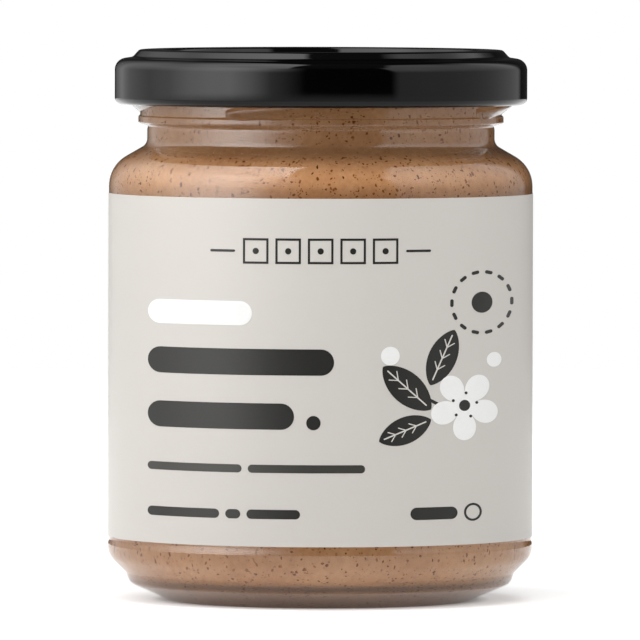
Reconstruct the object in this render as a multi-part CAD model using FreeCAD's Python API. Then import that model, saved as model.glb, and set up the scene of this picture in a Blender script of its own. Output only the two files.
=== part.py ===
"""A clear glass jar of almond butter under a black lug lid, with a paper label round its body.

Frame: origin on the jar's axis at the level of its foot, +Z up, the label's front towards -Y.
Outlines are (radius, height) corners in the XZ plane, revolved about Z. Angles round the jar are in
degrees from the front, growing to the right as seen from the front.
"""
import FreeCAD
import Part
import math
import os
from FreeCAD import Vector

# Jar body, in millimetres
jar_height = 89.3            # foot to sealing rim
body_diameter = 68.9         # glass, under the label
wall = 2.4                   # side wall
floor_height = 5.2           # inside floor above the foot plane
push_up = 1.2                # hollow under the base

# Heel and foot
foot_inset = 9.85            # body radius less the radius of the foot's outer edge
foot_land = 2.2              # width of the ring that the jar stands on
foot_round = 0.7
push_up_slope = 4.0          # width of the slope between the foot and the hollow
knee_inset = 3.4             # body radius less the radius where the sloped base ends
knee_height = 2.8
knee_round = 0.9
step_inset = 2.75            # body radius less the radius of the step above the knee
step_height = 4.5
step_round = 1.0
heel_height = 7.4            # where the heel's slope would meet the bumper
heel_round = 3.3
bumper_height = 9.2          # top of the contact band that guards the label's lower edge
bumper_projection = 0.2      # beyond the label panel
bumper_run_out = 0.7
bumper_round = 1.5
inner_heel_round = 9.0

# Shoulder
shoulder_drop = 18.75        # rim to the corner where the shoulder meets the body
shoulder_angle = 29.0        # below the horizontal, going outwards
shoulder_round = 5.6         # convex, at the body
throat_round = 3.0           # concave, at the neck

# Finish: the neck, its transfer bead and the lug threads of a 63 mm closure
thread_diameter = 62.8       # over the crests
thread_projection = 2.0
neck_inset = 0.75            # finish radius less neck radius
finish_wall = 3.3            # finish radius less bore radius
bead_projection = 0.3
bead_height = 1.1
bead_drop = 10.55            # rim to the top of the bead
bead_under_slope = 0.5       # height of the slope from the bead into the groove
bead_round = 0.25
groove_depth = 0.5           # below the neck's surface
groove_run_out = 0.6         # height in which the groove comes out to the neck
rim_round = 1.1
thread_count = 4
thread_first_end = -31.5     # angle of the low end of the thread at the front
thread_span = 122.0          # degrees
thread_pitch = 16.0          # rise in a full turn
thread_low_drop = 11.4       # rim to the underside of a thread at its low end
thread_height = 2.95         # at the root
thread_under_rise = 1.6      # root to crest on the underside
thread_crest_land = 0.45
thread_round = 0.28
thread_run_in = 7.5          # degrees in which the low end reaches its full size
thread_run_out = 24.0        # degrees in which the high end fades
thread_root_depth = 0.5      # how far a thread's root reaches into the finish
section_step = 9.0           # degrees between sections of a thread

# Contents
headspace = 4.0              # rim to the top of the almond butter

# Lid: lacquered sheet with a raised ring over the rim, a rolled edge and lugs
sheet = 0.2
lid_height = 8.85
skirt_clearance = 1.95       # thread crest to the inside of the skirt
skirt_round = 1.9
panel_recess = 1.3           # panel below the top of the ring
panel_round = 0.7
ring_width = 4.0             # flat top of the ring, outside
ring_overhang = 0.15         # ring's outer top edge beyond the finish radius
ring_slope = 1.3             # width of the ring's outer slope
ring_drop = 1.6              # height of that slope
ring_inner_slope = 0.9
ring_round = 0.7
button_diameter = 21.0       # vacuum button in the panel
button_depth = 0.45
button_slope = 1.6
curl_width = 1.6
curl_height = 1.6
curl_round = 0.7
curl_gap = 0.3               # rolled edge to the inside of the skirt
lug_width = 8.6              # along the arc
lug_projection = 1.95        # inwards from the rolled edge
lug_thickness = 1.0
lug_round = 0.35
lug_root = 0.3               # how far a lug reaches into the rolled edge
lug_run = 4.0                # degrees in which a lug reaches its full size
lug_clearance = 0.1          # lug to the underside of its thread
lug_lift = 0.45              # middle of a lug's underside above the lid's lower edge

# Paper label
paper = 0.1
label_low = 10.4             # lower edge above the foot
label_height = 55.8
label_gap = 7.0              # bare glass between its ends, at the back

# Radii and levels that follow from these
body_radius = body_diameter / 2
crest_radius = thread_diameter / 2
finish_radius = crest_radius - thread_projection
bore_radius = finish_radius - finish_wall
neck_radius = finish_radius - neck_inset
bead_radius = finish_radius + bead_projection
bead_top = jar_height - bead_drop
shoulder_level = jar_height - shoulder_drop
shoulder_slope = math.tan(math.radians(shoulder_angle))
throat_level = shoulder_level + (body_radius - neck_radius) * shoulder_slope
inner_drop = wall / math.cos(math.radians(shoulder_angle))
inner_radius = body_radius - wall
inner_shoulder_level = shoulder_level - inner_drop + wall * shoulder_slope
inner_throat_level = inner_shoulder_level + (inner_radius - bore_radius) * shoulder_slope
fill_level = jar_height - headspace
lid_top = jar_height + sheet
skirt_radius = crest_radius + skirt_clearance + sheet
lid_low = lid_top - lid_height
curl_radius = skirt_radius - curl_width
thread_low = jar_height - thread_low_drop

AXIS = Vector(0, 0, 1)
ORIGIN = Vector(0, 0, 0)


# Outlines

def corner_points(corners):
    """Corners as points in the XZ plane, each with its rounding radius (0 if it has none)."""
    return [(Vector(c[0], 0, c[1]), c[2] if len(c) > 2 else 0.0) for c in corners]


def rounding(before, corner, after, radius):
    """The start, middle and end of the arc that rounds a corner."""
    back = (before - corner).normalize()
    ahead = (after - corner).normalize()
    half = back.getAngle(ahead) / 2
    bisector = (back + ahead).normalize()
    reach = radius / math.tan(half)
    middle = corner + bisector * (radius / math.sin(half) - radius)
    return corner + back * reach, middle, corner + ahead * reach


def path_edges(corners, closed):
    """Straight edges and tangent arcs through the corners."""
    points = corner_points(corners)
    count = len(points)
    stops = []
    for i, (point, radius) in enumerate(points):
        inside = closed or 0 < i < count - 1
        if radius > 0 and inside:
            stops.append(rounding(points[i - 1][0], point, points[(i + 1) % count][0], radius))
        else:
            stops.append((point, None, point))
    edges = []
    for i, (start, middle, end) in enumerate(stops):
        if middle is not None:
            edges.append(Part.Arc(start, middle, end).toShape())
        if closed or i < count - 1:
            following = stops[(i + 1) % count][0]
            if end.distanceToPoint(following) > 1e-6:
                edges.append(Part.LineSegment(end, following).toShape())
    return edges


def outline_face(corners):
    """A face bounded by a closed outline of corners."""
    return Part.Face(Part.Wire(path_edges(corners, True)))


def parallel_corners(corners, distance):
    """The corners of a path that runs this far to the right of an open path, roundings included."""
    points = corner_points(corners)
    normals = []
    for (start, _), (end, _) in zip(points, points[1:]):
        along = (end - start).normalize()
        normals.append(Vector(along.z, 0, -along.x))
    moved = []
    for i, (point, radius) in enumerate(points):
        before = normals[max(i - 1, 0)]
        after = normals[min(i, len(normals) - 1)]
        mitre = (before + after) * (distance / (1 + before.dot(after)))
        turn = before.x * after.z - before.z * after.x
        change = distance if turn > 0 else -distance
        spot = point + mitre
        moved.append((spot.x, spot.z, max(radius + change, 0.0)))
    return moved


def sheet_face(corners, thickness):
    """A face of even thickness that lies to the right of an open path."""
    outer = path_edges(corners, False)
    inner_corners = parallel_corners(corners, thickness)
    inner = path_edges(inner_corners, False)
    starts = [Vector(c[0], 0, c[1]) for c in (corners[0], inner_corners[0])]
    ends = [Vector(c[0], 0, c[1]) for c in (corners[-1], inner_corners[-1])]
    caps = [Part.LineSegment(*starts).toShape(), Part.LineSegment(*ends).toShape()]
    return Part.Face(Part.Wire(Part.__sortEdges__(outer + inner + caps)))


def revolved(face, angle=360.0):
    return face.revolve(ORIGIN, AXIS, angle)


def at_angle(shape, angle):
    """A copy turned from +X to an angle round the jar, 0 being the front."""
    turned = shape.copy()
    turned.rotate(ORIGIN, AXIS, angle - 90.0)
    return turned


def rib(section, angles):
    """A solid through sections that follow one another round the axis; section(angle) gives corners."""
    wires = []
    for angle in angles:
        wire = Part.Wire(path_edges(section(angle), True))
        wires.append(at_angle(wire, angle))
    return Part.makeLoft(wires, True, False)


def steps(start, end, largest):
    """Evenly spaced values from start to end, no further apart than the largest step."""
    count = max(1, math.ceil((end - start) / largest))
    return [start + (end - start) * i / count for i in range(count + 1)]


def eased(share):
    """0 to 1 along a quarter sine, for run-ins that start steeply and level off."""
    return math.sin(math.radians(90.0 * min(max(share, 0.0), 1.0)))


# Glass

def inner_corners():
    """The inside of the jar from its floor up to the bore."""
    return [
        (0, floor_height),
        (inner_radius, floor_height, inner_heel_round),
        (inner_radius, inner_shoulder_level, shoulder_round - wall),
        (bore_radius, inner_throat_level, throat_round + wall),
    ]


def outer_corners():
    """The outside of the jar from under its base up to the rim."""
    foot_radius = body_radius - foot_inset
    hollow_radius = foot_radius - foot_land
    bumper_radius = body_radius + bumper_projection
    bead_low = bead_top - bead_height
    groove_level = bead_low - bead_under_slope
    return [
        (0, push_up),
        (hollow_radius - push_up_slope, push_up, foot_round * 4),
        (hollow_radius, 0, foot_round),
        (foot_radius, 0, foot_round),
        (body_radius - knee_inset, knee_height, knee_round),
        (body_radius - step_inset, step_height, step_round),
        (bumper_radius, heel_height, heel_round),
        (bumper_radius, bumper_height, bumper_round),
        (body_radius, bumper_height + bumper_run_out, bumper_round),
        (body_radius, shoulder_level, shoulder_round),
        (neck_radius, throat_level, throat_round),
        (neck_radius, groove_level - groove_run_out, bead_round),
        (neck_radius - groove_depth, groove_level, bead_round),
        (bead_radius, bead_low, bead_round),
        (bead_radius, bead_top, bead_round),
        (finish_radius, bead_top, bead_round),
        (finish_radius, jar_height, rim_round),
    ]


def glass_face():
    rim_inside = [(bore_radius, jar_height, rim_round)]
    return outline_face(outer_corners() + rim_inside + inner_corners()[::-1])


def thread_section(turned):
    """The corners of a thread's section, so many degrees on from its low end; it shrinks to its middle."""
    share = min(eased(turned / thread_run_in), eased((thread_span - turned) / thread_run_out))
    share = max(share, 0.03)
    middle = thread_low + thread_pitch * turned / 360.0 + thread_height / 2

    def level(above_low):
        return middle + (above_low - thread_height / 2) * (0.4 + 0.6 * share)

    root = finish_radius - thread_root_depth
    skin = finish_radius - 0.02
    crest = finish_radius + thread_projection * share
    crest_low = level(thread_under_rise)
    crest_high = level(thread_under_rise + thread_crest_land)
    return [
        (root, level(0)),
        (skin, level(0), thread_round * share),
        (crest, crest_low, thread_round * share),
        (crest, crest_high, thread_round * share),
        (skin, level(thread_height), thread_round * share),
        (root, level(thread_height)),
    ]


def thread():
    low_end = steps(0.0, thread_run_in, 1.8)
    middle = steps(thread_run_in, thread_span - thread_run_out, section_step)
    high_end = steps(thread_span - thread_run_out, thread_span, 4.0)
    return rib(thread_section, low_end + middle[1:] + high_end[1:])


def glass_jar():
    jar = revolved(glass_face())
    one = thread()
    for i in range(thread_count):
        turned = one.copy()
        turned.rotate(ORIGIN, AXIS, thread_first_end + 360.0 * i / thread_count)
        jar = jar.fuse(turned)
    return jar.removeSplitter()


# Contents

def almond_butter():
    """Fills the jar's inside up to the fill level."""
    surface = [(bore_radius, fill_level), (0, fill_level)]
    return revolved(outline_face(inner_corners() + surface))


# Lid

def lid_corners():
    """The outside of the lid's sheet, from its middle over the ring, down the skirt and round the roll."""
    panel = lid_top - panel_recess
    button_radius = button_diameter / 2
    ring_outer = finish_radius + ring_overhang
    ring_inner = ring_outer - ring_width
    shoulder = lid_top - ring_drop
    return [
        (0, panel - button_depth),
        (button_radius, panel - button_depth, panel_round * 2),
        (button_radius + button_slope, panel, panel_round * 2),
        (ring_inner - ring_inner_slope, panel, panel_round),
        (ring_inner, lid_top, ring_round),
        (ring_outer, lid_top, ring_round),
        (ring_outer + ring_slope, shoulder, sheet * 1.5),
        (skirt_radius, shoulder, skirt_round),
        (skirt_radius, lid_low, curl_round),
        (curl_radius, lid_low, curl_round),
        (curl_radius, lid_low + curl_height, curl_round),
        (skirt_radius - sheet - curl_gap, lid_low + curl_height),
    ]


def lug_level():
    """Underside of a lug at its middle."""
    return lid_low + lug_lift


def lug_turn():
    """Degrees from a thread's low end to the middle of the lug that is tight under it."""
    lug_inner = curl_radius - lug_projection
    contact_rise = thread_under_rise * (lug_inner + lug_round - finish_radius) / thread_projection
    contact = lug_level() + lug_thickness + lug_clearance - contact_rise
    return (contact - thread_low) * 360.0 / thread_pitch


def lug_section(turned):
    """The corners of a lug's section, so many degrees from its middle; it slants like the thread."""
    half = math.degrees(lug_width / 2 / curl_radius)
    share = eased((half - abs(turned)) / lug_run)
    low = lug_level() + thread_pitch * turned / 360.0
    inner = curl_radius - lug_projection * share
    outer = curl_radius + lug_root
    round_radius = lug_round * max(share, 0.2)
    return [
        (outer, low),
        (outer, low + lug_thickness),
        (inner, low + lug_thickness, round_radius),
        (inner, low, round_radius),
    ]


def lug():
    half = math.degrees(lug_width / 2 / curl_radius)
    rise = steps(-half, lug_run - half, 1.0)
    middle = steps(lug_run - half, half - lug_run, 4.0)
    fall = steps(half - lug_run, half, 1.0)
    return rib(lug_section, rise + middle[1:] + fall[1:])


def lid():
    cap = revolved(sheet_face(lid_corners(), sheet))
    one = lug()
    for i in range(thread_count):
        turned = one.copy()
        turned.rotate(ORIGIN, AXIS, thread_first_end + lug_turn() + 360.0 * i / thread_count)
        cap = cap.fuse(turned)
    return cap.removeSplitter()


# Label

def paper_label():
    outer = body_radius + paper
    top = label_low + label_height
    strip = outline_face([(body_radius, label_low), (outer, label_low), (outer, top), (body_radius, top)])
    gap = math.degrees(label_gap / outer)
    return at_angle(revolved(strip, 360.0 - gap), 180.0 + gap / 2)


def main():
    os.makedirs("parts", exist_ok=True)
    pieces = {
        "glass_jar": glass_jar(),
        "almond_butter": almond_butter(),
        "lid": lid(),
        "paper_label": paper_label(),
    }
    for node, shape in pieces.items():
        shape.exportStep(f"parts/{node}.step")
        box = shape.BoundBox
        print(f"{node}: {len(shape.Solids)} solid, {shape.Volume / 1000:.2f} ml, valid {shape.isValid()}, "
              f"z {box.ZMin:.2f} to {box.ZMax:.2f} mm")


main()
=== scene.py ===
import math
import random

import bpy
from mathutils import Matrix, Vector


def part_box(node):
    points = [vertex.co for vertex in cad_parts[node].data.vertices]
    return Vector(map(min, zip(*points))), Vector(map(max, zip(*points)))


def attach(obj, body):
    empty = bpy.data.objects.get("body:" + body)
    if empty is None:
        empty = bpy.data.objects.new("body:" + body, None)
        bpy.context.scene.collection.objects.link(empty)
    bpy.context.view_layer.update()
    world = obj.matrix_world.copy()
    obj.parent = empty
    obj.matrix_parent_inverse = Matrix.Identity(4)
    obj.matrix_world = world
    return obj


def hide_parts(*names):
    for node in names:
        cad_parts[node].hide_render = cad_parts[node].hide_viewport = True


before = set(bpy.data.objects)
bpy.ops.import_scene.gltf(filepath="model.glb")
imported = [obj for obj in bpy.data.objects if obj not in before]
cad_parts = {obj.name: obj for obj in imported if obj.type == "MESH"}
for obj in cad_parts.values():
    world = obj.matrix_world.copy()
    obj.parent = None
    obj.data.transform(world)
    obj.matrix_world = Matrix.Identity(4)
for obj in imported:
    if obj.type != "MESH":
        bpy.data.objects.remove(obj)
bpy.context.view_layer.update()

mm = 0.001


# Small helpers for modelling

def deselectAll():
    if bpy.context.mode != "OBJECT":
        bpy.ops.object.mode_set(mode="OBJECT")
    bpy.ops.object.select_all(action="DESELECT")


def pick(*pieces):
    deselectAll()
    for piece in pieces:
        piece.select_set(True)
    bpy.context.view_layer.objects.active = pieces[0]


def editAll(piece):
    pick(piece)
    bpy.ops.object.mode_set(mode="EDIT")
    bpy.ops.mesh.select_all(action="SELECT")


def nameIt(piece, name):
    piece.name = name
    piece.data.name = name
    return piece


def cleanUp(piece, smoothAngle=35, merge=0.002):  # merge is a distance in mm
    editAll(piece)
    bpy.ops.mesh.remove_doubles(threshold=merge * mm)
    bpy.ops.mesh.normals_make_consistent(inside=False)
    bpy.ops.object.mode_set(mode="OBJECT")
    bpy.ops.object.shade_smooth_by_angle(angle=math.radians(smoothAngle))


def applyModifier(piece, kind, **settings):
    pick(piece)
    modifier = piece.modifiers.new(kind.title(), kind)
    for key, value in settings.items():
        setattr(modifier, key, value)
    bpy.ops.object.modifier_apply(modifier=modifier.name)


def joinPieces(pieces, name):
    pick(*pieces)
    if len(pieces) > 1:
        bpy.ops.object.join()
    return nameIt(bpy.context.object, name)


def fuse(piece, extra):  # unites two pieces and merges only true doubles
    applyModifier(piece, "BOOLEAN", operation="UNION", object=extra, solver="MANIFOLD")
    bpy.data.objects.remove(extra)
    cleanUp(piece, smoothAngle=40, merge=0.0001)


def coat(piece, material):
    piece.data.materials.clear()
    piece.data.materials.append(material)


def turned(piece, degrees):  # turns a piece round the jar's axis and settles its place in its mesh
    pick(piece)
    piece.rotation_euler.z = math.radians(degrees)
    bpy.ops.object.transform_apply(location=True, rotation=True, scale=True)
    return piece


def copyOf(piece):  # each copy has its own mesh
    pick(piece)
    bpy.ops.object.duplicate(linked=False)
    return bpy.context.object


def spreadRound(piece, count, name):  # copies at equal turns round the axis, joined into one
    copies = [turned(copyOf(piece), 360 / count * i) for i in range(1, count)]
    return joinPieces([piece] + copies, name)


def drawPath(name, points):  # a chain of edges in the XZ plane from (radius, height) points in mm
    deselectAll()
    bpy.ops.mesh.primitive_plane_add(size=mm)
    piece = nameIt(bpy.context.object, name)
    bpy.ops.object.mode_set(mode="EDIT")
    bpy.ops.mesh.select_all(action="SELECT")
    bpy.ops.mesh.merge(type="CENTER")
    bpy.ops.transform.translate(value=(points[0][0] * mm, 0, points[0][1] * mm))
    for (x0, z0), (x1, z1) in zip(points, points[1:]):
        step = ((x1 - x0) * mm, 0, (z1 - z0) * mm)
        bpy.ops.mesh.extrude_region_move(TRANSFORM_OT_translate={"value": step})
    bpy.ops.object.mode_set(mode="OBJECT")
    return piece


# A corner is (radius, height) or (radius, height, rounding); a quarter turn of arc takes perTurn steps
def roundPath(corners, perTurn=16):
    points = []
    for i, corner in enumerate(corners):
        here = Vector(corner[:2])
        rounding = corner[2] if len(corner) > 2 else 0
        if not rounding or i in (0, len(corners) - 1):
            points.append(tuple(here))
            continue
        back = (Vector(corners[i - 1][:2]) - here).normalized()
        ahead = (Vector(corners[i + 1][:2]) - here).normalized()
        half = back.angle(ahead) / 2
        reach = rounding / math.tan(half)
        centre = here + (back + ahead).normalized() * rounding / math.sin(half)
        first = here + back * reach - centre
        last = here + ahead * reach - centre
        turn = math.atan2(first.x * last.y - first.y * last.x, first.dot(last))
        count = max(2, math.ceil(abs(turn) / math.radians(90) * perTurn))
        for j in range(count + 1):
            a = turn * j / count
            points.append((centre.x + first.x * math.cos(a) - first.y * math.sin(a),
                           centre.y + first.x * math.sin(a) + first.y * math.cos(a)))
    return points


def spinPath(name, points, steps, sweep=360.0):  # turns a path round the jar's axis
    piece = drawPath(name, points)
    editAll(piece)
    bpy.ops.mesh.spin(steps=steps, angle=math.radians(sweep), center=(0, 0, 0), axis=(0, 0, 1))
    bpy.ops.object.mode_set(mode="OBJECT")
    return piece


def rollUp(piece, radius):  # rolls a strip, modelled straight in front of the jar, round the axis
    for vertex in piece.data.vertices:
        around, out, up = vertex.co
        angle = around / (radius * mm)
        vertex.co = (-out * math.sin(angle), out * math.cos(angle), up)
    return piece


# Shader maths: a socket that can be used in sums and products

class Wire:
    def __init__(self, paint, socket):
        self.paint = paint
        self.socket = socket

    def maths(self, operation, first, second=0.0):
        return self.paint.node("ShaderNodeMath", {"operation": operation}, {0: first, 1: second})

    def __add__(self, other):
        return self.maths("ADD", self, other)

    def __sub__(self, other):
        return self.maths("SUBTRACT", self, other)

    def __rsub__(self, other):
        return self.maths("SUBTRACT", other, self)

    def __mul__(self, other):
        return self.maths("MULTIPLY", self, other)

    def __truediv__(self, other):
        return self.maths("DIVIDE", self, other)

    def __rtruediv__(self, other):
        return self.maths("DIVIDE", other, self)

    __radd__ = __add__
    __rmul__ = __mul__

    def clamped(self):
        return self.maths("MINIMUM", self.maths("MAXIMUM", self, 0.0), 1.0)


class Paint:
    def __init__(self, tree):
        self.tree = tree
        self.tree.nodes.clear()

    def node(self, kind, settings=None, values=None, output=0):
        made = self.tree.nodes.new(kind)
        for key, value in (settings or {}).items():
            if key == "stops":
                self.setStops(made.color_ramp, value)
            else:
                setattr(made, key, value)
        for key, value in (values or {}).items():
            if isinstance(value, Wire):
                self.tree.links.new(value.socket, made.inputs[key])
            else:
                made.inputs[key].default_value = value
        return Wire(self, made.outputs[output] if made.outputs else None)

    def setStops(self, ramp, stops):
        while len(ramp.elements) < len(stops):
            ramp.elements.new(0.5)
        for element, (place, colour) in zip(ramp.elements, stops):
            element.position = place
            element.color = (*colour, 1) if isinstance(colour, tuple) else (colour, colour, colour, 1)

    def blend(self, share, first, second):  # sockets 6 and 7 are the two colours, output 2 their mix
        return self.node("ShaderNodeMix", {"data_type": "RGBA"}, {0: share, 6: first, 7: second}, output=2)

    def ramp(self, stops, place):
        return self.node("ShaderNodeValToRGB", {"stops": stops}, {0: place})

    def path(self, name):
        return self.node("ShaderNodeLightPath", output=name)

    def place(self):
        return self.node("ShaderNodeTexCoord", output="Object")

    def axis(self, vector, name):
        return self.node("ShaderNodeSeparateXYZ", values={0: vector}, output=name)

    def noise(self, scale, detail=2.0, roughness=0.5, stretch=None):
        spot = self.place()
        if stretch:
            spot = self.node("ShaderNodeMapping", values={"Vector": spot, "Scale": stretch})
        values = {"Vector": spot, "Scale": scale, "Detail": detail, "Roughness": roughness}
        return self.node("ShaderNodeTexNoise", values=values)

    def bump(self, height, strength, distance):
        values = {"Height": height, "Strength": strength, "Distance": distance * mm}
        return self.node("ShaderNodeBump", values=values)


def paintOf(name):
    material = bpy.data.materials.new(name)
    material.use_nodes = True
    return material, Paint(material.node_tree)


def finishWith(paint, shader):
    paint.node("ShaderNodeOutputMaterial", values={"Surface": shader})


def colour(red, green, blue):
    return (red, green, blue, 1)


def between(value, low, high):  # 0 at low, 1 at high
    return ((value - low) / (high - low)).clamped()


# Sizes taken from the frame, in mm

def sizesOf(node):
    low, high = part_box(node)
    return low / mm, high / mm


_, glassHigh = sizesOf("glass_jar")
butterLow, butterHigh = sizesOf("almond_butter")
lidLow, lidHigh = sizesOf("lid")
labelLow, labelHigh = sizesOf("paper_label")
labelRadius = labelHigh.x
rimHeight = glassHigh.z
paperThickness = 0.1

# The glass jar

jarSizes = {
    "bodyRadius": labelRadius - paperThickness, "wall": labelRadius - paperThickness - butterHigh.x,
    "pushUp": 1.2, "pushUpSlope": 4.0, "pushUpRound": 2.8,
    "footInset": 9.85, "footLand": 2.2, "footRound": 0.7,
    "kneeInset": 3.4, "kneeHeight": 2.8, "kneeRound": 1.4,
    "stepInset": 2.75, "stepHeight": 4.5, "stepRound": 1.0,
    "heelHeight": 7.4, "heelRound": 3.3, "bumperHeight": 9.2, "bumperRunOut": 0.7, "bumperRound": 1.5,
    "innerHeelRound": 4.5, "floorDrop": 0.9,
    "shoulderDrop": 18.75, "shoulderAngle": 30.0, "shoulderRound": 5.6, "throatRound": 1.6,
    "finishRadius": 29.4, "neckInset": 1.15, "finishWall": 3.3, "rimRound": 1.1,
    "beadProud": 0.3, "beadHeight": 1.1, "beadDrop": 10.55, "beadRound": 0.25, "beadUnderSlope": 0.5,
    "grooveDepth": 0.15, "grooveRunOut": 0.6,
    "roundSteps": 216,
}


def innerCorners(grow=0.0):  # the inside of the jar, let out by grow
    s = jarSizes
    slope = math.tan(math.radians(s["shoulderAngle"]))
    radius = s["bodyRadius"] - s["wall"]
    bore = s["finishRadius"] - s["finishWall"]
    drop = s["wall"] / math.cos(math.radians(s["shoulderAngle"])) - s["wall"] * slope
    shoulder = rimHeight - s["shoulderDrop"] - drop
    throat = shoulder + (radius - bore) * slope
    floor = butterLow.z - s["floorDrop"] - grow
    rise = grow / 2
    return [
        (0, floor),
        (radius + grow, floor, s["innerHeelRound"]),
        (radius + grow, shoulder + rise, s["shoulderRound"] - s["wall"]),
        (bore + grow, throat + rise, s["throatRound"] + s["wall"]),
    ]


def outerCorners():
    s = jarSizes
    slope = math.tan(math.radians(s["shoulderAngle"]))
    body, finish = s["bodyRadius"], s["finishRadius"]
    foot = body - s["footInset"]
    hollow = foot - s["footLand"]
    bumper = glassHigh.x
    neck = finish - s["neckInset"]
    shoulder = rimHeight - s["shoulderDrop"]
    beadTop = rimHeight - s["beadDrop"]
    beadLow = beadTop - s["beadHeight"]
    groove = beadLow - s["beadUnderSlope"]
    return [
        (0, s["pushUp"]),
        (hollow - s["pushUpSlope"], s["pushUp"], s["pushUpRound"]),
        (hollow, 0, s["footRound"]),
        (foot, 0, s["footRound"]),
        (body - s["kneeInset"], s["kneeHeight"], s["kneeRound"]),
        (body - s["stepInset"], s["stepHeight"], s["stepRound"]),
        (bumper, s["heelHeight"], s["heelRound"]),
        (bumper, s["bumperHeight"], s["bumperRound"]),
        (body, s["bumperHeight"] + s["bumperRunOut"], s["bumperRound"]),
        (body, shoulder, s["shoulderRound"]),
        (neck, shoulder + (body - neck) * slope, s["throatRound"]),
        (neck, groove - s["grooveRunOut"], s["beadRound"]),
        (neck - s["grooveDepth"], groove, s["beadRound"]),
        (finish + s["beadProud"], beadLow, s["beadRound"]),
        (finish + s["beadProud"], beadTop, s["beadRound"]),
        (finish, beadTop, s["beadRound"]),
        (finish, rimHeight, s["rimRound"]),
        (finish - s["finishWall"], rimHeight, s["rimRound"]),
    ]


threadSizes = {
    "count": 4, "firstEnd": -31.5, "span": 122.0, "pitch": 16.0, "lowDrop": 11.4, "height": 2.95,
    "underRise": 1.6, "crestLand": 0.45, "proud": 2.0, "edgeRound": 0.28, "depth": 0.5,
    "runIn": 7.5, "runOut": 24.0, "runInSteps": 7, "middleSteps": 24, "runOutSteps": 8,
    "endProud": 0.03, "endHeight": 0.4,  # the shares of depth and height that the ends keep
}


def eased(share):
    return math.sin(math.radians(90 * min(max(share, 0), 1)))


def threadPlaces():  # degrees along the thread, closer together where it runs in and out
    s = threadSizes
    middle = s["span"] - s["runIn"] - s["runOut"]
    places = [s["runIn"] * i / s["runInSteps"] for i in range(s["runInSteps"])]
    places += [s["runIn"] + middle * i / s["middleSteps"] for i in range(s["middleSteps"])]
    places += [s["span"] - s["runOut"] * (1 - i / s["runOutSteps"]) for i in range(s["runOutSteps"] + 1)]
    return places


def makeThread():  # one lug thread, modelled straight in front of the jar and then rolled up
    s = threadSizes
    finish = jarSizes["finishRadius"]
    low = rimHeight - s["lowDrop"]
    section = [
        (finish - s["depth"], low),
        (finish, low),
        (finish + s["proud"], low + s["underRise"], s["edgeRound"]),
        (finish + s["proud"], low + s["underRise"] + s["crestLand"], s["edgeRound"]),
        (finish, low + s["height"]),
        (finish - s["depth"], low + s["height"]),
    ]
    thread = drawPath("thread", roundPath(section, perTurn=8))
    editAll(thread)
    bpy.ops.mesh.edge_face_add()
    bpy.ops.object.mode_set(mode="OBJECT")
    turned(thread, -90)
    editAll(thread)
    before, shareBefore, heightBefore = 0.0, 1.0, 1.0
    for place in threadPlaces():
        share = max(min(eased(place / s["runIn"]), eased((s["span"] - place) / s["runOut"])), s["endProud"])
        height = s["endHeight"] + (1 - s["endHeight"]) * share
        arc = math.radians(place - before) * finish * mm
        if place > 0:
            bpy.ops.mesh.extrude_region_move()
            bpy.ops.transform.translate(value=(arc, 0, s["pitch"] * (place - before) / 360 * mm))
        here = math.radians(place) * finish * mm
        level = (low + s["height"] / 2 + s["pitch"] * place / 360) * mm
        scale = (1, share / shareBefore, height / heightBefore)
        bpy.ops.transform.resize(value=scale, center_override=(here, -finish * mm, level))
        before, shareBefore, heightBefore = place, share, height
    bpy.ops.object.mode_set(mode="OBJECT")
    rollUp(thread, finish)
    cleanUp(thread)
    return thread


def makeGlass():
    outline = roundPath(outerCorners() + innerCorners()[::-1])
    glass = spinPath("clearGlass", outline, jarSizes["roundSteps"])
    cleanUp(glass)
    thread = turned(makeThread(), threadSizes["firstEnd"])
    fuse(glass, spreadRound(thread, threadSizes["count"], "threads"))
    return glass


def glassPaint():
    material, paint = paintOf("clearGlass")
    wave = paint.noise(38.0, detail=2.0, roughness=0.45, stretch=(1, 1, 0.6))
    shader = paint.node("ShaderNodeBsdfPrincipled", values={
        "Base Color": colour(0.975, 0.985, 0.98), "Roughness": 0.0, "IOR": 1.5, "Transmission Weight": 1.0,
        "Normal": paint.bump(wave, 0.25, 0.35),
    })
    finishWith(paint, shader)
    return material


glass = makeGlass()
coat(glass, glassPaint())
glass.visible_shadow = False
glass.visible_diffuse = False
print("glass", len(glass.data.polygons), "faces")

# The almond butter

butterSizes = {"intoWall": 0.06, "topRound": 0.8, "roundSteps": 192}
butterPaintedShade = {  # painted shade on the butter: how much darker it is made at the neck, under the lid, and towards the heel, and the heights in metres at which that starts and is full
    "neck": (0.18, 0.0705, 0.074), "heel": (0.1, 0.0115, 0.0095),
}


def makeButter():
    corners = innerCorners(butterSizes["intoWall"])
    bore = corners[-1][0]
    outline = roundPath(corners + [(bore, butterHigh.z, butterSizes["topRound"]), (0, butterHigh.z)])
    butter = spinPath("nutButter", outline, butterSizes["roundSteps"])
    cleanUp(butter, smoothAngle=50)
    return butter


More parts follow.
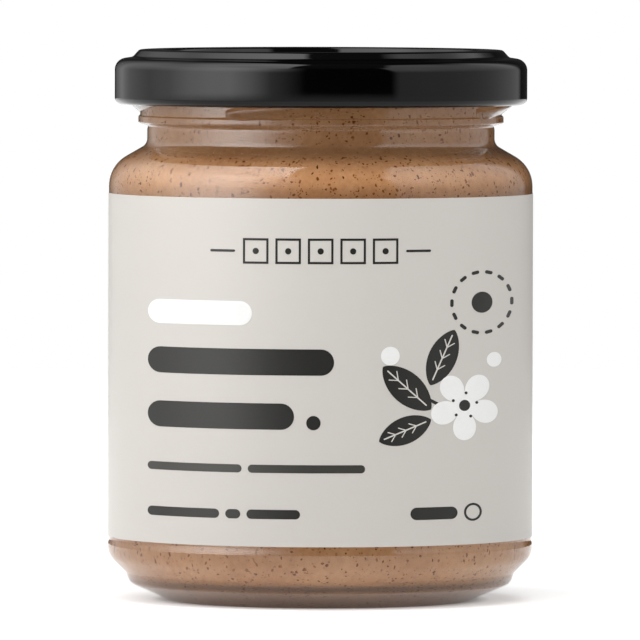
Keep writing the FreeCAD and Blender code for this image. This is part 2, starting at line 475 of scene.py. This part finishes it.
def butterPaint():
    material, paint = paintOf("nutButter")
    cloud = paint.noise(55.0, detail=3.0, roughness=0.55)
    grain = paint.noise(900.0, detail=3.0, roughness=0.6)
    tone = (cloud - 0.5) * 1.1 + (grain - 0.5) * 0.8 + 0.5
    browns = paint.ramp([(0.2, (0.42, 0.195, 0.082)), (0.8, (0.58, 0.31, 0.15))], tone.clamped())
    spots = paint.node("ShaderNodeTexVoronoi", values={"Vector": paint.place(), "Scale": 620.0})
    speck = (0.16 - spots) * 14
    mixed = paint.blend(speck.clamped() * 0.45, browns, colour(0.2, 0.085, 0.035))
    level = paint.axis(paint.place(), "Z")
    # painted shade: the butter's colour is made darker at the neck under the lid and towards the heel
    paintedShadeFactor = 1.0
    for darker, start, full in butterPaintedShade.values():
        paintedShadeFactor = paintedShadeFactor - darker * between(level, start, full)
    mixed = paint.node("ShaderNodeVectorMath", {"operation": "SCALE"}, {0: mixed, 3: paintedShadeFactor})
    shader = paint.node("ShaderNodeBsdfPrincipled", values={
        "Base Color": mixed, "Roughness": 0.55, "Specular IOR Level": 0.1, "Subsurface Weight": 0.12,
        "Subsurface Radius": (1.0, 0.5, 0.25), "Subsurface Scale": 0.9 * mm,
    })
    finishWith(paint, shader)
    return material


butter = makeButter()
coat(butter, butterPaint())
print("butter", len(butter.data.polygons), "faces")

# Flecks of brown almond skin that show against the glass

fleckSizes = {
    "seed": 5, "perSquareMm": 1.15, "smallest": 0.1, "largest": 0.4, "bias": 2.4,
    "thickness": 0.05, "proud": 0.02,
    "sides": (5, 6, 7), "stretch": (0.45, 0.9), "reach": (0.7, 1.1), "jitter": 0.3, "topSpread": 0.85,
    "intoLid": 2, "underLabel": 4, "leastRadius": 12, "gapAngle": 170,
}


def fleckPlaces(rng):  # points on the butter's side with their outward direction
    s = fleckSizes
    outline = roundPath(innerCorners(butterSizes["intoWall"]))
    outline.append((outline[-1][0], lidLow.z + s["intoLid"]))
    labelTop, labelFoot = labelHigh.z - s["underLabel"], labelLow.z + s["underLabel"]
    for (r0, z0), (r1, z1) in zip(outline, outline[1:]):
        length = math.hypot(r1 - r0, z1 - z0)
        out = Vector(((z1 - z0) / length, (r0 - r1) / length))
        expected = length * math.pi * (r0 + r1) * s["perSquareMm"]
        count = int(expected) + (rng.random() < expected % 1)
        for _ in range(count):
            share = rng.random()
            radius, level = r0 + (r1 - r0) * share, z0 + (z1 - z0) * share
            angle = rng.uniform(-math.pi, math.pi)
            covered = labelFoot < level < labelTop and abs(angle) <= math.radians(s["gapAngle"])
            if radius >= s["leastRadius"] and not covered:
                yield angle, radius, level, out


def makeFlecks():
    s = fleckSizes
    rng = random.Random(s["seed"])
    points, faces = [], []
    for angle, radius, level, out in fleckPlaces(rng):
        size = s["smallest"] + (s["largest"] - s["smallest"]) * rng.random() ** s["bias"]
        around = Vector((math.cos(angle), math.sin(angle), 0))
        outward = Vector((math.sin(angle) * out.x, -math.cos(angle) * out.x, out.y))
        upward = outward.cross(around)
        middle = Vector((radius * math.sin(angle), -radius * math.cos(angle), level))
        sides = rng.choice(s["sides"])
        stretch = rng.uniform(*s["stretch"])
        turn = rng.uniform(0, math.pi)
        first = len(points)
        for lift, spread in ((-s["thickness"], 1.0), (s["proud"], s["topSpread"])):
            edge = random.Random(first)  # both faces get the same ragged edge
            for i in range(sides):
                a = math.tau * (i + edge.uniform(-s["jitter"], s["jitter"])) / sides
                reach = size * edge.uniform(*s["reach"]) * spread
                x, y = reach * math.cos(a), reach * math.sin(a) * stretch
                across = around * (x * math.cos(turn) - y * math.sin(turn))
                along = upward * (x * math.sin(turn) + y * math.cos(turn))
                points.append((middle + across + along + outward * lift) * mm)
        lower, upper = (list(range(first + sides * k, first + sides * (k + 1))) for k in range(2))
        faces += [lower[::-1], upper]
        for i in range(sides):
            j = (i + 1) % sides
            faces.append((lower[i], lower[j], upper[j], upper[i]))
    mesh = bpy.data.meshes.new("skinFlecks")
    mesh.from_pydata(points, [], faces)
    flecks = bpy.data.objects.new("skinFlecks", mesh)
    bpy.context.scene.collection.objects.link(flecks)
    pick(flecks)
    bpy.ops.object.shade_flat()
    return flecks


def fleckPaint():
    material, paint = paintOf("almondSkin")
    tone = paint.noise(420.0, detail=1.0)
    browns = paint.ramp([(0.3, (0.1, 0.026, 0.005)), (0.7, (0.32, 0.115, 0.032))], tone)
    shader = paint.node("ShaderNodeBsdfPrincipled", values={
        "Base Color": browns, "Roughness": 0.6, "Specular IOR Level": 0.0,
    })
    finishWith(paint, shader)
    return material


flecks = makeFlecks()
coat(flecks, fleckPaint())
print("flecks", len(flecks.data.polygons), "faces")

# The lid

lidSizes = {
    "sheet": 0.2, "skirtRound": 1.9, "panelRecess": 1.3, "panelRound": 0.7,
    "ringTop": 29.55, "ringWidth": 4.0, "ringSlope": 1.08, "ringDrop": 1.2, "ringInnerSlope": 0.9,
    "ringRound": 0.8, "ringFillet": 1.0, "ledgeFall": 0.45,
    "buttonRadius": 10.5, "buttonDepth": 0.45, "buttonSlope": 1.6, "buttonRound": 1.4,
    "curlWidth": 1.6, "curlHeight": 1.6, "edgeRound": 1.1, "curlRound": 0.45, "curlGap": 0.3,
    "lugWidth": 8.6, "lugProud": 1.95, "lugOverlap": 0.3, "lugThickness": 1.0, "lugLift": 0.45,
    "lugTurn": 40.3, "lugBevel": 0.35, "lugCuts": 4, "lugStrip": 0.9,
    "roundSteps": 240,
}


def makeLid():
    s = lidSizes
    top, low, skirt = lidHigh.z, lidLow.z, lidHigh.x
    panel = top - s["panelRecess"]
    ringInner = s["ringTop"] - s["ringWidth"]
    shoulder = top - s["ringDrop"]
    curl = skirt - s["curlWidth"]
    corners = [
        (0, panel - s["buttonDepth"]),
        (s["buttonRadius"], panel - s["buttonDepth"], s["buttonRound"]),
        (s["buttonRadius"] + s["buttonSlope"], panel, s["buttonRound"]),
        (ringInner - s["ringInnerSlope"], panel, s["panelRound"]),
        (ringInner, top, s["ringRound"]),
        (s["ringTop"], top, s["ringRound"]),
        (s["ringTop"] + s["ringSlope"], shoulder, s["ringFillet"]),
        (skirt, shoulder - s["ledgeFall"], s["skirtRound"]),
        (skirt, low, s["edgeRound"]),
        (curl, low, s["curlRound"]),
        (curl, low + s["curlHeight"], s["curlRound"]),
        (skirt - s["sheet"] - s["curlGap"], low + s["curlHeight"]),
    ]
    lid = spinPath("blackLid", roundPath(corners), s["roundSteps"])
    cleanUp(lid)
    applyModifier(lid, "SOLIDIFY", thickness=s["sheet"] * mm, offset=-1, use_even_offset=True)
    return lid


def makeLug():
    s = lidSizes
    middle = lidHigh.x - s["curlWidth"] - (s["lugProud"] - s["lugOverlap"]) / 2
    deselectAll()
    size = (s["lugWidth"] * mm, (s["lugProud"] + s["lugOverlap"]) * mm, s["lugThickness"] * mm)
    height = (lidLow.z + s["lugLift"] + s["lugThickness"] / 2) * mm
    bpy.ops.mesh.primitive_cube_add(size=1, location=(0, -middle * mm, height), scale=size)
    lug = nameIt(bpy.context.object, "lug")
    bpy.ops.object.transform_apply(location=True, rotation=True, scale=True)
    applyModifier(lug, "BEVEL", width=s["lugBevel"] * mm, segments=4, limit_method="NONE")
    editAll(lug)
    for i in range(-s["lugCuts"], s["lugCuts"] + 1):
        bpy.ops.mesh.select_all(action="SELECT")
        bpy.ops.mesh.bisect(plane_co=(i * s["lugStrip"] * mm, 0, 0), plane_no=(1, 0, 0))
    bpy.ops.object.mode_set(mode="OBJECT")
    for vertex in lug.data.vertices:
        vertex.co.z += vertex.co.x * threadSizes["pitch"] / (math.tau * middle)
    rollUp(lug, middle)
    cleanUp(lug)
    return lug


def addLugs(lid):
    lug = turned(makeLug(), lidSizes["lugTurn"])
    fuse(lid, spreadRound(lug, threadSizes["count"], "lugs"))


def lidPaint():
    material, paint = paintOf("blackLacquer")
    peel = paint.noise(700.0, detail=2.0, roughness=0.5)
    dust = paint.noise(160.0, detail=4.0, roughness=0.6)
    shader = paint.node("ShaderNodeBsdfPrincipled", values={
        "Base Color": colour(0.001, 0.001, 0.0012), "Roughness": dust * 0.04 + 0.03, "IOR": 1.5,
        "Specular IOR Level": 0.22, "Normal": paint.bump(peel, 0.04, 0.03),
    })
    finishWith(paint, shader)
    return material


lid = makeLid()
addLugs(lid)
coat(lid, lidPaint())
print("lid", len(lid.data.polygons), "faces")

# The label and its print

labelSizes = {"gap": 7.0, "edgeRound": 0.03, "roundSteps": 250}


def makeLabel():
    s = labelSizes
    inner, outer = labelRadius - paperThickness, labelRadius
    low, high = labelLow.z, labelHigh.z
    edge = s["edgeRound"]
    gap = math.degrees(s["gap"] / outer)
    corners = [(inner, low), (outer, low, edge), (outer, high, edge), (inner, high)]
    outline = roundPath(corners, perTurn=3)
    label = spinPath("wrapLabel", outline + outline[:1], s["roundSteps"], 360 - gap)
    editAll(label)
    bpy.ops.mesh.remove_doubles(threshold=0.002 * mm)
    bpy.ops.mesh.select_all(action="DESELECT")
    bpy.ops.mesh.select_mode(type="EDGE")
    bpy.ops.mesh.select_non_manifold()
    bpy.ops.mesh.edge_face_add()
    bpy.ops.mesh.select_mode(type="VERT")
    bpy.ops.object.mode_set(mode="OBJECT")
    turned(label, 90 + gap / 2)
    cleanUp(label, smoothAngle=40)
    return label


def labelPaint():
    material, paint = paintOf("labelPaper")
    fibre = paint.noise(1500.0, detail=4.0, roughness=0.65, stretch=(1, 1, 2.2))
    cloud = paint.noise(40.0, detail=2.0)
    base = paint.blend((cloud - 0.35) * 0.6, colour(0.652, 0.622, 0.584), colour(0.674, 0.646, 0.608))
    base = paint.blend((fibre - 0.35).clamped() * 0.25, base, colour(0.6, 0.57, 0.53))
    shader = paint.node("ShaderNodeBsdfPrincipled", values={
        "Base Color": base, "Roughness": (fibre - 0.5) * 0.12 + 0.36, "IOR": 1.5,
        "Specular IOR Level": 0.16, "Normal": paint.bump(fibre, 0.12, 0.02),
    })
    finishWith(paint, shader)
    return material


label = makeLabel()
coat(label, labelPaint())
print("label", len(label.data.polygons), "faces")

# Print: flat shapes drawn in front of the jar, heights counted from the label's lower edge, in mm

printSizes = {"sunk": 0.02, "stripWidth": 0.6}
textBars = {  # each row is a height, the lengths of its bars and their thickness
    "left": -27.8, "gap": 1.0, "light": (37.4, (16.8,), 3.9), "grey": (12.5, (15.2, 18.8), 1.3),
    "dark": [(29.6, (30.0,), 4.2), (20.9, (23.6,), 4.2), (5.2, (11.6, 2.4, 8.6), 1.5)],
    "stop": (-1.1, 19.9, 1.15), "weight": (18.3, 5.2, 7.6, 2.0), "weightRing": (24.6, 5.2, 1.45, 0.36),
}
head = {
    "height": 47.4, "pitch": 5.2, "size": 2.9, "stroke": 0.36, "dot": 0.5,
    "lineMiddle": 15.7, "line": (4.0, 0.4),
}
sprig = {
    "blossom": (23.2, 22.4, 5.6), "buds": [(11.2, 30.6, 1.5), (28.0, 29.6, 1.2)],
    "leaves": [(13.9, 25.4, 10.4, 5.0, 138), (19.6, 30.2, 9.6, 4.6, 66), (13.6, 18.6, 9.0, 4.3, 202)],
    "stem": (18.4, 23.0, 3.0, 0.5, -28),
}
petals = {"count": 5, "turn": 18, "waist": 0.34, "fullness": 0.55}
stamens = {"middle": 0.16, "count": 5, "turn": 0.2, "reach": 0.36, "radius": 0.24}
leafVeins = {  # shares of the leaf's length, apart from the two widths in mm and the angle in degrees
    "pairs": 3, "middle": 0.82, "middleWidth": 0.22, "spacing": 0.2, "back": 0.02, "reach": 0.075,
    "forward": 0.8, "aside": 0.62, "side": 0.15, "sideWidth": 0.16, "sideAngle": 38,
}
seal = {"middle": (26.0, 38.9), "radius": 4.9, "dashes": 14, "dash": (1.25, 0.55), "dot": 1.7}
inks = [  # a print, how proud it lies, and its ink's name, colour and roughness
    ("darkPrint", 0.02, "darkInk", (0.011, 0.0105, 0.0085), 0.3),
    ("whitePrint", 0.03, "whiteInk", (0.9, 0.9, 0.89), 0.4),
    ("greyPrint", 0.02, "greyInk", (0.035, 0.034, 0.03), 0.32),
    ("veinPrint", 0.04, "paleInk", (0.66, 0.63, 0.59), 0.36),
    ("stamenPrint", 0.04, "centreInk", (0.011, 0.0105, 0.0085), 0.3),
]


def flatFace(piece):  # stands a shape drawn in XY up in the XZ plane, facing the front
    pick(piece)
    piece.rotation_euler.x = math.radians(90)
    bpy.ops.object.transform_apply(location=False, rotation=True, scale=True)
    return piece


def movedTo(piece, x, height, degrees=0.0):
    pick(piece)
    piece.rotation_euler.y = -math.radians(degrees)
    piece.location = (x * mm, 0, (labelLow.z + height) * mm)
    bpy.ops.object.transform_apply(location=True, rotation=True, scale=True)
    return piece


def bar(x, height, length, thickness, degrees=0.0):  # a bar with round ends; x, height is its middle
    deselectAll()
    bpy.ops.mesh.primitive_plane_add(size=mm)
    piece = bpy.context.object
    piece.scale = (length, thickness, 1)
    flatFace(piece)
    editAll(piece)
    bpy.ops.mesh.bevel(offset=thickness * 0.499 * mm, segments=8, affect="VERTICES")  # just short of half
    bpy.ops.object.mode_set(mode="OBJECT")
    return movedTo(piece, x, height, degrees)


def disc(x, height, radius, corners=40):
    deselectAll()
    bpy.ops.mesh.primitive_circle_add(vertices=corners, radius=radius * mm, fill_type="NGON")
    return movedTo(flatFace(bpy.context.object), x, height)


def ring(x, height, radius, stroke, corners=48):  # four corners make a square that stands on a side
    deselectAll()
    bpy.ops.mesh.primitive_circle_add(vertices=corners, radius=radius * mm, fill_type="NGON")
    piece = flatFace(bpy.context.object)
    editAll(piece)
    bpy.ops.mesh.inset(thickness=stroke * mm)
    bpy.ops.mesh.delete(type="FACE")
    bpy.ops.object.mode_set(mode="OBJECT")
    return movedTo(piece, x, height, 45 if corners == 4 else 0)


def leaf(x, height, length, width, degrees):
    piece = disc(0, 0, length / 2, corners=48)
    for vertex in piece.data.vertices:
        across = (vertex.co.z - labelLow.z * mm) / (length / 2 * mm)
        vertex.co.z = labelLow.z * mm + across * abs(across) ** 0.5 * width / 2 * mm
    pick(piece)
    bpy.ops.object.origin_set(type="ORIGIN_GEOMETRY", center="BOUNDS")
    piece.location = (0, 0, 0)
    return movedTo(piece, x, height, degrees)


def veins(x, height, length, degrees):
    s = leafVeins
    turn = math.radians(degrees)
    lines = [bar(x, height, length * s["middle"], s["middleWidth"], degrees)]
    reach = length * s["reach"]
    for i in range(s["pairs"]):
        along = length * (i - (s["pairs"] - 1) / 2) * s["spacing"] - length * s["back"] + reach * s["forward"]
        for side in (-1, 1):
            aside = side * reach * s["aside"]
            veinX = x + along * math.cos(turn) - aside * math.sin(turn)
            veinHeight = height + along * math.sin(turn) + aside * math.cos(turn)
            sideTurn = degrees + side * s["sideAngle"]
            lines.append(bar(veinX, veinHeight, length * s["side"], s["sideWidth"], sideTurn))
    return lines


def blossom(x, height, radius):
    piece = disc(0, 0, radius, corners=160)
    for vertex in piece.data.vertices:
        px, pz = vertex.co.x, vertex.co.z - labelLow.z * mm
        angle = math.atan2(pz, px) + math.radians(petals["turn"])
        swell = abs(math.cos(petals["count"] * angle / 2)) ** petals["fullness"]
        reach = petals["waist"] + (1 - petals["waist"]) * swell
        vertex.co = (px * reach, 0, labelLow.z * mm + pz * reach)
    pick(piece)
    piece.location = (x * mm, 0, height * mm)
    bpy.ops.object.transform_apply(location=True, rotation=True, scale=True)
    return piece


# Cuts the shapes into narrow strips and lays them back on the round label
def layPrint(pieces, name, proud):
    layer = joinPieces(pieces, name)
    radius = labelRadius + proud
    reach = max(abs(vertex.co.x) for vertex in layer.data.vertices)
    editAll(layer)
    strip = printSizes["stripWidth"] * mm
    for i in range(-int(reach / strip), int(reach / strip) + 1):
        bpy.ops.mesh.select_all(action="SELECT")
        bpy.ops.mesh.bisect(plane_co=(i * strip, 0, 0), plane_no=(1, 0, 0))
    bpy.ops.object.mode_set(mode="OBJECT")
    for vertex in layer.data.vertices:
        vertex.co.y = -math.sqrt((radius * mm) ** 2 - vertex.co.x ** 2)
    editAll(layer)
    bpy.ops.mesh.normals_make_consistent(inside=False)
    bpy.ops.object.mode_set(mode="OBJECT")
    facing = sum(face.normal.y * face.area for face in layer.data.polygons)
    if facing > 0:
        editAll(layer)
        bpy.ops.mesh.flip_normals()
        bpy.ops.object.mode_set(mode="OBJECT")
    applyModifier(layer, "SOLIDIFY", thickness=(proud + printSizes["sunk"]) * mm, offset=-1)
    pick(layer)
    bpy.ops.object.shade_smooth_by_angle(angle=math.radians(35))
    return layer


def barRow(height, lengths, thickness):  # bars side by side from the left margin
    row = []
    left = textBars["left"]
    for length in lengths:
        row.append(bar(left + length / 2, height, length, thickness))
        left += length + textBars["gap"]
    return row


def sealShapes():
    middleX, middleHeight = seal["middle"]
    shapes = [disc(middleX, middleHeight, seal["dot"])]
    for i in range(seal["dashes"]):
        angle = 360 / seal["dashes"] * i
        x = middleX + seal["radius"] * math.cos(math.radians(angle))
        height = middleHeight + seal["radius"] * math.sin(math.radians(angle))
        shapes.append(bar(x, height, *seal["dash"], angle + 90))
    return shapes


def headShapes():  # a row of small squares between two lines
    places = [head["pitch"] * i for i in range(-2, 3)]
    shapes = [ring(x, head["height"], head["size"], head["stroke"], corners=4) for x in places]
    shapes += [disc(x, head["height"], head["dot"], corners=24) for x in places]
    shapes += [bar(side * head["lineMiddle"], head["height"], *head["line"]) for side in (-1, 1)]
    return shapes


def stamenShapes():
    x, height, radius = sprig["blossom"]
    shapes = [disc(x, height, radius * stamens["middle"])]
    for i in range(stamens["count"]):
        a = math.tau * i / stamens["count"] + stamens["turn"]
        reach = radius * stamens["reach"]
        place = (x + reach * math.cos(a), height + reach * math.sin(a))
        shapes.append(disc(*place, stamens["radius"], corners=16))
    return shapes


def inkPaint(name, tone, roughness):
    material, paint = paintOf(name)
    fibre = paint.noise(1500.0, detail=4.0, roughness=0.65, stretch=(1, 1, 2.2))
    lighter = tuple(min(1.0, value * 1.08 + 0.004) for value in tone)
    base = paint.blend((fibre - 0.2).clamped(), colour(*tone), colour(*lighter))
    shader = paint.node("ShaderNodeBsdfPrincipled", values={
        "Base Color": base, "Roughness": (fibre - 0.5) * 0.1 + roughness, "IOR": 1.5,
        "Specular IOR Level": 0.28, "Normal": paint.bump(fibre, 0.1, 0.02),
    })
    finishWith(paint, shader)
    return material


def makePrint():
    dark = headShapes() + sealShapes()
    for row in textBars["dark"]:
        dark += barRow(*row)
    dark.append(disc(*textBars["stop"]))
    dark.append(bar(*textBars["weight"]))
    dark.append(ring(*textBars["weightRing"]))
    veinLines = []
    for x, height, length, width, degrees in sprig["leaves"]:
        dark.append(leaf(x, height, length, width, degrees))
        veinLines += veins(x, height, length, degrees)
    dark.append(bar(*sprig["stem"]))
    white = barRow(*textBars["light"])
    white.append(blossom(*sprig["blossom"]))
    white += [disc(*bud) for bud in sprig["buds"]]
    shapes = {
        "darkPrint": dark, "whitePrint": white, "greyPrint": barRow(*textBars["grey"]),
        "veinPrint": veinLines, "stamenPrint": stamenShapes(),
    }
    return [
        (layPrint(shapes[name], name, proud), inkPaint(ink, tone, roughness))
        for name, proud, ink, tone, roughness in inks
    ]


prints = makePrint()
for piece, material in prints:
    coat(piece, material)
print("print", [len(piece.data.polygons) for piece, _ in prints], "faces")

# Every piece rides on the one body, and the CAD nodes they replace are hidden

slots = {glass: "clear_glass", butter: "almond_butter", flecks: "almond_butter", lid: "black_lacquer",
         label: "label_paper"}
slots.update({piece: "label_paper" for piece, _ in prints})
for piece, slot in slots.items():
    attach(piece, "root")
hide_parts("glass_jar")
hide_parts("almond_butter")
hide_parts("lid")
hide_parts("paper_label")

# The studio: floor, lamps, surroundings and camera

studio = {
    # paintedContactShadow: the radii in metres at which the floor's white glow starts and is full, a painted
    # shadow round the jar's foot
    "floorRadius": 0.9, "floorFade": 0.35, "floorWhite": 0.46, "paintedContactShadow": (0.0235, 0.028),
    "cameraSide": -0.00008, "cameraDistance": 1.991, "cameraHeight": 0.1218, "aimHeight": 0.0455,
    "lens": 688.5, "roll": 0.13, "clip": (0.1, 20),
    "lampDistance": 5.0, "lampWidth": 2.5, "lampAim": 0.045,
    "lamps": [  # name, azimuth from the front, elevation, radiance
        ("leftBox", -65, 10, 3.3), ("leftSide", -95, 12, 1.3), ("leftHigh", -75, 60, 5.6),
        ("frontHigh", -16, 65, 3.95), ("rightHigh", 28, 68, 6.4), ("rightSide", 76, 12, 2.45),
    ],
    "ambient": 0.04,
    # What gloss mirrors level with the jar, by azimuth in degrees: soft panels, dark between and behind
    "lowWalls": [
        (-180, 0.03), (-170, 0.03), (-157, 0.37), (-148, 0.8), (-135, 0.76), (-111, 1.1), (-94, 2.1),
        (-78, 4.2), (-65, 5.3), (-52, 5.6), (-40, 3.8), (-28, 1.25), (-17, 0.5), (-9, 0.01), (0, 0.0),
        (40, 0.0), (44.5, 0.9), (60, 0.95), (100, 0.86), (122, 0.8), (144, 0.55), (150, 0.03), (180, 0.03),
    ],
    # The same further up
    "highWalls": [
        (-180, 0.02), (-170, 0.03), (-157, 0.35), (-148, 0.8), (-135, 1.4), (-116, 2.2), (-98, 3.3),
        (-83, 5.0), (-66, 6.8), (-56, 6.9), (-44, 5.9), (-33, 3.8), (-22, 1.9), (-13, 0.4), (-9, 0.02),
        (0, 0.0), (40, 0.0), (43.5, 2.1), (60, 2.3), (82, 1.85), (98, 1.65), (122, 1.3), (141, 1.2),
        (148, 0.3), (156, 0.03), (180, 0.02),
    ],
    # Where each part starts and is full, by the upward, sideways or backward part of the direction
    "wallRise": (0.1, 0.5), "wallTop": (0.66, 0.8), "floorEdge": (-0.04, -0.07),
    "leftCeiling": 4.8, "leftEdge": (-0.01, 0.03), "rightCeiling": 2.1, "rightEdge": (0.27, 0.33),
    "ceilingBack": (0.0, 0.6), "backLoss": 0.97,
    "ceilingBase": 0.1, "ceilingSlant": 0.33, "ceilingLean": 0.05,
}


def makeFloor():
    deselectAll()
    bpy.ops.mesh.primitive_circle_add(vertices=96, radius=studio["floorRadius"], fill_type="NGON")
    floor = nameIt(bpy.context.object, "floor")
    material, paint = paintOf("floorPaint")
    far = paint.node("ShaderNodeVectorMath", {"operation": "LENGTH"}, {0: paint.place()}, output="Value")
    fade = ((studio["floorRadius"] - far) / (studio["floorRadius"] - studio["floorFade"])).clamped()
    matt = paint.node("ShaderNodeBsdfPrincipled", values={
        "Base Color": colour(0.8, 0.8, 0.8), "Roughness": 0.7, "Specular IOR Level": 0.2,
    })
    seen = paint.path("Is Camera Ray") + paint.path("Is Glossy Ray") + paint.path("Is Transmission Ray")
    # painted shadow: the glow is missing under the jar, deepening the floor's own shadow there
    white = seen.clamped() * between(far, *studio["paintedContactShadow"]) * studio["floorWhite"]
    glow = paint.node("ShaderNodeEmission", values={"Strength": white})
    lit = paint.node("ShaderNodeAddShader", values={0: matt, 1: glow})
    clear = paint.node("ShaderNodeBsdfTransparent")
    finishWith(paint, paint.node("ShaderNodeMixShader", values={0: fade, 1: clear, 2: lit}))
    coat(floor, material)


def makeLamps():
    width = studio["lampWidth"]
    for name, azimuth, elevation, radiance in studio["lamps"]:
        data = bpy.data.lights.new(name, "AREA")
        data.shape = "SQUARE"
        data.size = width
        data.energy = radiance * math.pi * width * width
        lamp = bpy.data.objects.new(name, data)
        bpy.context.scene.collection.objects.link(lamp)
        a, e = math.radians(azimuth), math.radians(elevation)
        back = Vector((math.sin(a) * math.cos(e), -math.cos(a) * math.cos(e), math.sin(e)))
        lamp.location = Vector((0, 0, studio["lampAim"])) + back * studio["lampDistance"]
        lamp.rotation_mode = "QUATERNION"
        lamp.rotation_quaternion = (-back).to_track_quat("-Z", "Y")
        lamp.visible_glossy = False
        lamp.visible_transmission = False


def levels(paint, turn, stops):  # a brightness that runs through (degrees, level) stops
    most = max(level for _, level in stops)
    scaled = [((degrees + 180) / 360, level / most) for degrees, level in stops]
    return most * paint.ramp(scaled, turn)


def makeSurroundings():
    world = bpy.data.worlds.new("studio")
    bpy.context.scene.world = world
    world.use_nodes = True
    paint = Paint(world.node_tree)
    way = paint.node("ShaderNodeTexCoord", output="Generated")
    x, y, z = (paint.axis(way, name) for name in "XYZ")
    azimuth = paint.node("ShaderNodeMath", {"operation": "ARCTAN2"}, {0: x, 1: y * -1})
    turn = azimuth / math.tau + 0.5
    rise = between(z, *studio["wallRise"])
    lowWalls, highWalls = (levels(paint, turn, studio[name]) for name in ("lowWalls", "highWalls"))
    walls = lowWalls * (1 - rise) + highWalls * rise
    # Half the dark gap between the two panels overhead
    middle = paint.node("ShaderNodeMath", {"operation": "ABSOLUTE"}, {0: y}) * studio["ceilingSlant"]
    middle = middle + z * studio["ceilingLean"]
    leftPanel = between(-1 * x - middle, *studio["leftEdge"]) * studio["leftCeiling"]
    rightPanel = between(x - middle, *studio["rightEdge"]) * studio["rightCeiling"]
    behind = studio["backLoss"] * between(y, *studio["ceilingBack"])
    ceiling = (leftPanel + rightPanel + studio["ceilingBase"]) * (1 - behind)
    above = between(z, *studio["wallTop"])
    below = between(z, *studio["floorEdge"])
    mirrored = walls * (1 - above) + ceiling * above
    mirrored = mirrored * (1 - below) + below
    seen = (paint.path("Is Camera Ray") + paint.path("Is Transmission Ray")).clamped()
    glossy = paint.path("Is Glossy Ray")
    level = seen + (1 - seen) * (glossy * mirrored + (1 - glossy) * studio["ambient"])
    background = paint.node("ShaderNodeBackground", values={"Color": colour(1, 1, 1), "Strength": level})
    paint.node("ShaderNodeOutputWorld", values={"Surface": background})


def makeCamera():
    data = bpy.data.cameras.new("camera")
    data.lens = studio["lens"]
    data.sensor_width = 36
    data.clip_start, data.clip_end = studio["clip"]
    camera = bpy.data.objects.new("camera", data)
    bpy.context.scene.collection.objects.link(camera)
    camera.location = (studio["cameraSide"], -studio["cameraDistance"], studio["cameraHeight"])
    aim = Vector((studio["cameraSide"], 0, studio["aimHeight"])) - camera.location
    camera.rotation_euler = aim.to_track_quat("-Z", "Y").to_euler()
    camera.rotation_euler.rotate_axis("Z", math.radians(studio["roll"]))
    bpy.context.scene.camera = camera


makeFloor()
makeLamps()
makeSurroundings()
makeCamera()
bpy.context.scene.view_settings.view_transform = "Standard"
print("studio ready")
